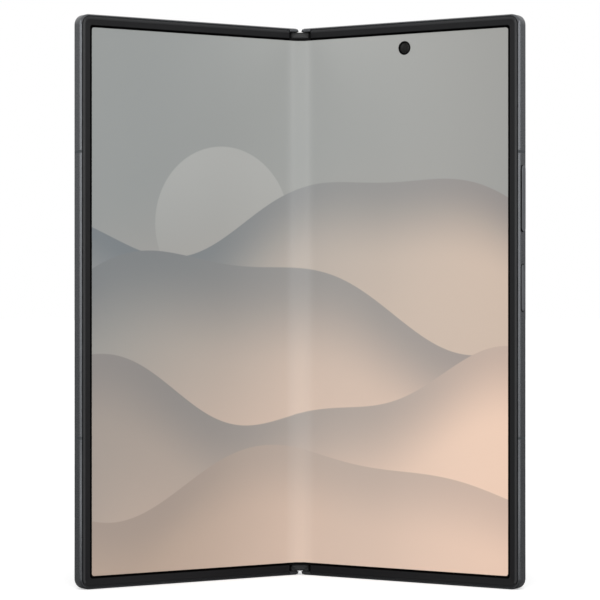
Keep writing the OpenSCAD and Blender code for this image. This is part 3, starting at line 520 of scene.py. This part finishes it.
def bezel_material():
    """Matt black trim: a shoulder with a painted highlight that is full on the sides, half at the top and
    gone at the bottom, painted light in the groove at both ends, a dull flat, and a slope beside the display
    painted dead black as the shade along the trim's inner edge.
    """
    g = Graph("bezel_trim")
    flat = g.add("ShaderNodeAttribute", attribute_name="flat").outputs["Vector"]
    split = g.add("ShaderNodeSeparateXYZ", {0: flat}).outputs
    s, end = split["X"], split["Z"]
    grain = g.noise(7000, 5.0)
    # Painted highlight: the shoulder is lighter and glossier, fully on the sides, half at the top and not at
    # the bottom, as the light falls from above.
    shoulder_highlight = g.math("MULTIPLY", g.ramp(s, 0.32, 0.45), g.ramp(s, 1.2, 0.85))
    shoulder_highlight = g.math("MULTIPLY", shoulder_highlight, g.ramp(end, -1.0, 0.0))
    shoulder_highlight = g.math("MULTIPLY", shoulder_highlight, g.ramp(end, 0.0, 1.0, 1.0, 0.5))
    # Painted light: at the top and bottom ends the groove is lifted to the shoulder's lighter tone, against
    # the shade it sits in.
    groove_light = g.math("MULTIPLY", g.ramp(s, 0.55, 0.45), g.math("ABSOLUTE", end))
    shoulder_highlight = g.math("MAXIMUM", shoulder_highlight, groove_light)
    # Painted shade: the inner slope beside the display is dead black without specular, for the shade along
    # the trim's inner edge.
    clear_of_slope_shade = g.ramp(s, 2.62, 2.5)
    tone = g.blend(grain, srgb(15, 15, 17), srgb(21, 21, 23))
    g.set(Base_Color=g.blend(clear_of_slope_shade, srgb(5, 5, 5), g.blend(shoulder_highlight, tone, srgb(36, 37, 39))),
          Specular_IOR_Level=g.math("MULTIPLY_ADD", clear_of_slope_shade, 0.22, g.math("MULTIPLY", shoulder_highlight, 0.3)),
          Roughness=g.ramp(grain, 0.3, 0.7, 0.36, 0.46))
    g.bump(grain, 5)
    return g.material


FINISHES["bezel_trim"] = bezel_material()


def bezel(side):
    """One half's trim. Its layer holds how far in a point lies, and its end (1 top, -1 bottom, 0 side)."""
    name = "right" if side > 0 else "left"
    rings = [inset_path(LIP + s, y, side) for s, y in BEZEL_PROFILE]
    lengthwise = [list(ring) for ring in zip(*rings)]
    reach = HALF_H - CORNER_R / 2
    ends = [(z > reach) - (z < -reach) for z in (ring[0].z / MM - HALF_H for ring in lengthwise)]
    across = [(s, y, float(end)) for end in ends for s, y in BEZEL_PROFILE]
    piece = new_object(f"{name}_bezel_trim", *loft(lengthwise), sharp=38, layer=across)
    finish_piece(piece, f"{name}_half", FINISHES["bezel_trim"], (f"{name}_bezel",))


bezel(-1)
bezel(1)


# ---- Black elastomer pads in the recesses at the ends of the fold, which also stand in for the recesses' deep shade ----

# Each pad's reach from the fold line and from mid-height
PAD_U, PAD_Z = (4.0, 6.15), (76.4, 78.2)


def fold_shade_pads(side):
    """A flat pad with a soft upper edge at each end of one half's fold."""
    name = "right" if side > 0 else "left"
    parts = []
    for end in (-1, 1):
        rings = []
        for grow, y in ((0.0, 1.36), (0.0, 1.31), (-0.04, 1.28)):
            near, far, low, high = PAD_U[0] - grow, PAD_U[1] + grow, PAD_Z[0] - grow, PAD_Z[1] + grow
            corners = [(near, low), (far, low), (far, high), (near, high)]
            rings.append([place(side, u, y, end * z) for u, z in corners])
        parts.append(loft(rings))
    piece = new_object(f"{name}_fold_shade_pads", *joined(parts))
    # The pads' black is painted shade for the deep shadow in the recesses.
    finish_piece(piece, f"{name}_half", FINISHES["camera_black"], ())


fold_shade_pads(-1)
fold_shade_pads(1)


# ---- The punch-hole camera ----

def dome(r, y_rim, y_top):
    """Profile points of a shallow dome from its rim to its middle."""
    return [(r * math.cos(math.radians(a)) + AXIAL, y_rim + (y_top - y_rim) * math.sin(math.radians(a)))
            for a in range(0, 91, 15)]


def inner_camera():
    """A black ring with a stepped throat, its flange and its module, and a domed lens."""
    ring = turned(1, CAM_U, CAM_Z, [
        (2.5, 1.38), (2.5, 0.95), (2.44, 0.9), (1.8, 0.89), (1.8, 0.52), (1.77, 0.49), (1.54, 0.49),
        (1.51, 0.52), (1.5, 0.7), (0.98, 0.8), (0.92, 0.95), (AXIAL, 0.95)])
    block = loft([[place(1, CAM_U + a * (3 - inset), y, CAM_Z + b * (3 - inset))
                   for a, b in ((-1, -1), (1, -1), (1, 1), (-1, 1))]
                  for inset, y in ((0.08, 1.43), (0.0, 1.5), (0.0, 3.32), (0.08, 3.39))])
    seat = new_object("inner_camera_seat", *joined([ring, block]), sharp=30)
    finish_piece(seat, "right_half", FINISHES["dead_black"], ("inner_camera",))
    lens = new_object("inner_camera_lens", *turned(1, CAM_U, CAM_Z, [
        (AXIAL, 0.9), (1.48, 0.9), (1.48, 0.56), (1.44, 0.52), (1.32, 0.52),
        *dome(1.3, 0.58, 0.5)]), sharp=40)
    finish_piece(lens, "right_half", FINISHES["front_lens"], ())


inner_camera()


# ---- Keys: long domed pills in their windows ----

# The keys' windows: width, and their middle line's depth in the wall
KEY_W, KEY_Y = 2.1, 2.1


def key(name, node, body, z, length, width, proud):
    """A key of that length and width inside a black seal that fills its window and paints the shade in the
    gap round the key.
    """
    collar = (KEY_W - width) / 2

    def rings(rows):
        return loft([[place(1, HALF_W + out, KEY_Y + b, z + a)
                      for a, b in pill_outline(length + 2 * grow, width + 2 * grow)] for grow, out in rows])

    cap = rings(((0.0, -0.9), (0.0, proud - 0.06), (-0.02, proud - 0.025), (-0.05, proud - 0.006),
                 (-0.12, proud - 0.002), (-0.5, proud)))
    neck = rings(((-0.05, -1.31), (-0.05, -0.88)))
    stem = rings(((collar + 0.45, -1.62), (collar + 0.45, -1.3)))
    # The black seal stands in for the shade in the gap round the key.
    shade_seal = rings(((collar + 0.05, -0.85), (collar + 0.05, 0.0), (0.05, 0.02), (0.05, proud - 0.1),
                  (0.03, proud - 0.07)))
    around = new_object(f"{name}_seal", *shade_seal, sharp=30)
    finish_piece(around, body, FINISHES["camera_seat"], ())
    pressed = new_object(name, *joined([cap, neck, stem]), sharp=30)
    finish_piece(pressed, body, FINISHES["key_metal"], (node,))


key("volume_key", "volume_rocker", "rocker", 28.4, 18.3, 2.1, 0.42)
key("power_button", "side_key", "power_key", 3.8, 12.7, 1.6, 0.2)


# ---- Rear cameras: island, knurled rings, stepped lenses, ribbed flash ----
ISLAND_U, ISLAND_W, LENS_PITCH, LENS_TOP = 59.6, 16.0, 14.2, 67.2
ISLAND_Y, ISLAND_T, RING_R, RING_T = 4.25, 1.1, 6.3, 0.8
LENS_ZS = [LENS_TOP - i * LENS_PITCH for i in range(3)]
SEAT_Y = ISLAND_Y + ISLAND_T


def camera_island():
    """A pill with a soft upper edge, pierced by the three lenses."""
    rings = []
    for shrink, y in ((0.0, 0.0), (0.0, 0.62), (0.04, 0.8), (0.13, 0.94), (0.27, 1.05), (0.45, 1.1)):
        outline = pill_outline(2 * LENS_PITCH + ISLAND_W - 2 * shrink, ISLAND_W - 2 * shrink, 28)
        rings.append([Vector((ISLAND_U + b, ISLAND_Y + y, LENS_ZS[1] + a)) for a, b in outline])
    body = new_object("island", *loft(rings))
    points, faces = pierced(body, ISLAND_U, LENS_ZS, 5.25, 90, (0, 9))
    obj = new_object("rear_camera_island", [place(1, *p) for p in points], faces, sharp=28)
    finish_piece(obj, "right_half", FINISHES["frame_metal"], ("camera_island",))


def lens_rings():
    """Knurled rings, each a skin that closes round its section and so needs no caps."""
    def knurl(angle, index):
        return 1.0 - 0.006 * (0.5 + 0.5 * math.cos(angle * 90)) if index in (2, 3) else 1.0

    y0 = SEAT_Y + 0.02
    outside = [(RING_R - inset, y0 + rise) for inset, rise in (
        (0.06, 0), (0, 0.06), (0, 0.4), (0.06, 0.48), (0.16, 0.52), (0.2, 0.7), (0.3, RING_T))]
    inside = [(r, y0 + rise) for r, rise in (
        (5.62, RING_T), (5.5, 0.74), (5.36, 0.7), (5.28, 0.6), (5.26, 0.1))]
    profile = [(5.3, y0), *outside, *inside]
    parts = [turned(1, ISLAND_U, z, profile + [profile[0]], 270, knurl) for z in LENS_ZS]
    obj = new_object("rear_lens_rings", *joined([(p, f[:-2]) for p, f in parts]), sharp=30)
    finish_piece(obj, "right_half", FINISHES["ring_metal"], ("lens_rings",))


def lens_glasses():
    """A dark front plate over a stepped barrel and a domed inner element."""
    y1 = SEAT_Y + RING_T - 0.15
    plates, barrels = [], []
    for index, z in enumerate(LENS_ZS):
        iris = (1.9, 2.5, 1.7)[index]
        plate = [(5.18, y1 - 0.5), (5.18, y1 - 0.05), (5.12, y1), (iris + 1.5, y1),
                 (iris + 1.45, y1 - 0.02), (iris + 0.1, y1 - 0.2), (iris, y1 - 0.24)]
        middle = [(r, y - 0.3) for r, y in dome(iris, y1 - 0.02, y1 + 0.22)]
        plates.append(turned(1, ISLAND_U, z, plate + middle, 120))
        barrel = [(iris + 1.3, y1 - 0.49), (iris + 1.3, y1 - 0.02), (iris + 1.24, y1 + 0.02),
                  (iris + 1.02, y1 + 0.02), (iris + 0.98, y1 - 0.03), (iris + 0.98, y1 - 0.4)]
        barrels.append(turned(1, ISLAND_U, z, barrel, 96))
    glass = new_object("rear_lens_glasses", *joined(plates), sharp=30)
    finish_piece(glass, "right_half", FINISHES["lens_glass"], ("lens_glasses",))
    trims = new_object("rear_lens_trims", *joined(barrels), sharp=30)
    finish_piece(trims, "right_half", FINISHES["camera_black"], ())


def flash_window():
    """A round window with fine circular ribs."""
    u, z, y = ISLAND_U - ISLAND_W / 2 - 4, LENS_TOP, 4.23
    ribs = []
    for i in range(9):
        r = 1.85 - 0.2 * i
        ribs += [(r, y - 0.02), (r - 0.08, y - 0.1)]
    profile = [(1.98, 3.72), (1.98, y - 0.06), (1.94, y - 0.01), *ribs, (AXIAL, y - 0.05)]
    obj = new_object("rear_flash_window", *turned(1, u, z, profile, 64), sharp=25)
    finish_piece(obj, "right_half", FINISHES["flash_plastic"], ("flash_window",))


camera_island()
lens_rings()
lens_glasses()
flash_window()


# ---- Cover side: the camera under the black glass, and the port's contacts ----
COVER_CAM_U, COVER_CAM_Z = 37.775, 72.2

cover_rim = new_object("cover_camera_rim", *turned(-1, COVER_CAM_U, COVER_CAM_Z, [
    (2.3, 4.16), (2.3, 4.197), (2.26, 4.2), (1.8, 4.2), (1.76, 4.196), (1.76, 4.16)]), sharp=35)
finish_piece(cover_rim, "left_half", FINISHES["camera_black"], ())


def port_contacts():
    """Twelve gold contacts on each face of the port's tongue."""
    mid_u, mid_y, low = 37.775, 2.27, -HALF_H + 1.35
    parts = []
    for face in (-1, 1):
        for i in range(12):
            u = mid_u + (i - 5.5) * 0.5
            y = mid_y + face * 0.335
            corners = [(u - 0.12, low), (u + 0.12, low), (u + 0.12, low + 4.2), (u - 0.12, low + 4.2)]
            parts.append(loft([[place(1, a, y + face * d, b) for a, b in corners] for d in (-0.01, 0.02)]))
    obj = new_object("port_contacts", *joined(parts))
    finish_piece(obj, "right_half", FINISHES["washer_metal"], ())


port_contacts()


# ---- CAD pieces that stay: each takes the finish of its slot, and softened edges ----
SLOTS = {row["node"]: row["material_slot"] for row in frame["record"]["subparts"]}
SHOWN_BY_PIECES = {
    "left_display", "right_display", "fold_display", "inner_camera", "left_bezel", "right_bezel",
    "volume_rocker", "side_key", "camera_island", "lens_rings", "lens_glasses", "flash_window",
}


def soften_edges(obj, width, flat):
    """Rounds the edges of a CAD piece slightly, by modifiers only, and keeps a large pane flat."""
    weld = obj.modifiers.new("weld", "WELD")
    weld.merge_threshold = MICRON
    round_off = obj.modifiers.new("edges", "BEVEL")
    round_off.width, round_off.segments = width * MM, 2
    round_off.limit_method, round_off.angle_limit = "ANGLE", math.radians(20)
    round_off.harden_normals = not flat
    if flat:
        obj.modifiers.new("shading", "WEIGHTED_NORMAL").keep_sharp = True


for node, obj in NODES.items():
    if node not in SHOWN_BY_PIECES:
        obj.data.materials.clear()
        obj.data.materials.append(FINISHES[SLOTS[node]])
        soften_edges(obj, 0.03, "glass" in node)


# ---- Studio: white floor that keeps the shadow, soft lights and the camera ----

def studio_floor():
    """Matt and pale; the camera also sees a glow that lifts its open stretches to white."""
    g = Graph("studio_floor")
    direct = g.add("ShaderNodeLightPath").outputs["Is Camera Ray"]
    tone = g.noise(3)
    seen = g.blend(tone, (0.79,) * 3 + (1,), (0.8,) * 3 + (1,))
    matt = g.add("ShaderNodeBsdfDiffuse", {"Color": g.blend(direct, (0.25,) * 3 + (1,), seen)})
    lift = g.math("MULTIPLY", direct, FLOOR_GLOW)
    glow = g.add("ShaderNodeEmission", {"Color": (1, 1, 1, 1), "Strength": lift})
    both = g.add("ShaderNodeAddShader", {0: matt.outputs[0], 1: glow.outputs[0]})
    g.tree.links.new(both.outputs[0], g.tree.nodes["Material Output"].inputs[0])
    return g.material


def studio_world():
    """White to the camera; a soft sky that brightens upwards to everything else."""
    sky = bpy.data.worlds.new("studio")
    sky.use_nodes = True
    tree = sky.node_tree

    def ramp(value, low, high, to_low, to_high):
        node = tree.nodes.new("ShaderNodeMapRange")
        for socket, number in zip(list(node.inputs)[1:5], (low, high, to_low, to_high)):
            socket.default_value = number
        tree.links.new(value, node.inputs[0])
        return node.outputs[0]

    up = tree.nodes.new("ShaderNodeSeparateXYZ")
    tree.links.new(tree.nodes.new("ShaderNodeTexCoord").outputs["Generated"], up.inputs[0])
    soft = ramp(up.outputs["Z"], *SKY_RISE)
    camera_ray = tree.nodes.new("ShaderNodeLightPath").outputs["Is Camera Ray"]
    choose = tree.nodes.new("ShaderNodeMix")
    tree.links.new(camera_ray, choose.inputs[0])
    tree.links.new(soft, choose.inputs[2])
    choose.inputs[3].default_value = 1.0
    tree.links.new(choose.outputs[0], tree.nodes["Background"].inputs["Strength"])
    tree.nodes["Background"].inputs["Color"].default_value = (1, 1, 1, 1)
    return sky


def lamp(name, kind, at, energy, **settings):
    """A lamp that points at the middle of the part."""
    data = bpy.data.lights.new(name, kind)
    data.energy = energy
    for key, value in settings.items():
        setattr(data, key, value)
    obj = bpy.data.objects.new(name, data)
    obj.location = at
    obj.rotation_euler = (Vector((0, 0, 0.09)) - Vector(at)).to_track_quat("-Z", "Y").to_euler()
    bpy.context.scene.collection.objects.link(obj)
    return obj


FLOOR_GLOW = 0.4
SKY_RISE = (-0.25, 0.35, 0.25, 0.75)

floor_mesh = bpy.data.meshes.new("floor")
floor_mesh.from_pydata([(-9, -9, 0), (9, -9, 0), (9, 9, 0), (-9, 9, 0)], [], [(0, 1, 2, 3)])
floor = bpy.data.objects.new("floor", floor_mesh)
bpy.context.scene.collection.objects.link(floor)
floor.data.materials.append(studio_floor())
bpy.context.scene.world = studio_world()

not_floor = bpy.data.collections.new("not_floor")
not_floor.objects.link(floor)
not_floor.collection_objects[0].light_linking.link_state = "EXCLUDE"
lamp("overhead", "SUN", (0.0, -0.6, 1.0), 1.0, angle=math.radians(50))
for name, x in (("left_box", -0.40), ("right_box", 0.40)):
    box = lamp(name, "AREA", (x, -0.85, 0.35), 2.2, shape="RECTANGLE", size=0.28, size_y=0.5)
    box.light_linking.receiver_collection = not_floor
for name, x in (("left_strip", -0.95), ("right_strip", 0.95)):
    strip = lamp(name, "AREA", (x, -0.17, 0.26), 1.8, shape="RECTANGLE", size=0.2, size_y=0.95)
    strip.light_linking.receiver_collection = not_floor
# Low panels for the lowest part of the side walls
for name, x in (("left_low", -0.2), ("right_low", 0.2)):
    low_strip = lamp(name, "AREA", (x, -0.045, 0.012), 0.005, shape="RECTANGLE", size=0.03, size_y=0.022)
    low_strip.light_linking.receiver_collection = not_floor

# The camera's lens and place come from a perspective fit of the photograph
camera_data = bpy.data.cameras.new("photo")
camera_data.lens, camera_data.sensor_width = 145.43, 36.0
camera_data.clip_start, camera_data.clip_end = 0.01, 50.0
camera = bpy.data.objects.new("photo", camera_data)
camera.location = (0.0, -0.68567, 0.079671)
camera.rotation_euler = (math.pi / 2, 0, 0)
bpy.context.scene.collection.objects.link(camera)
bpy.context.scene.camera = camera
bpy.context.scene.view_settings.view_transform = "Standard"
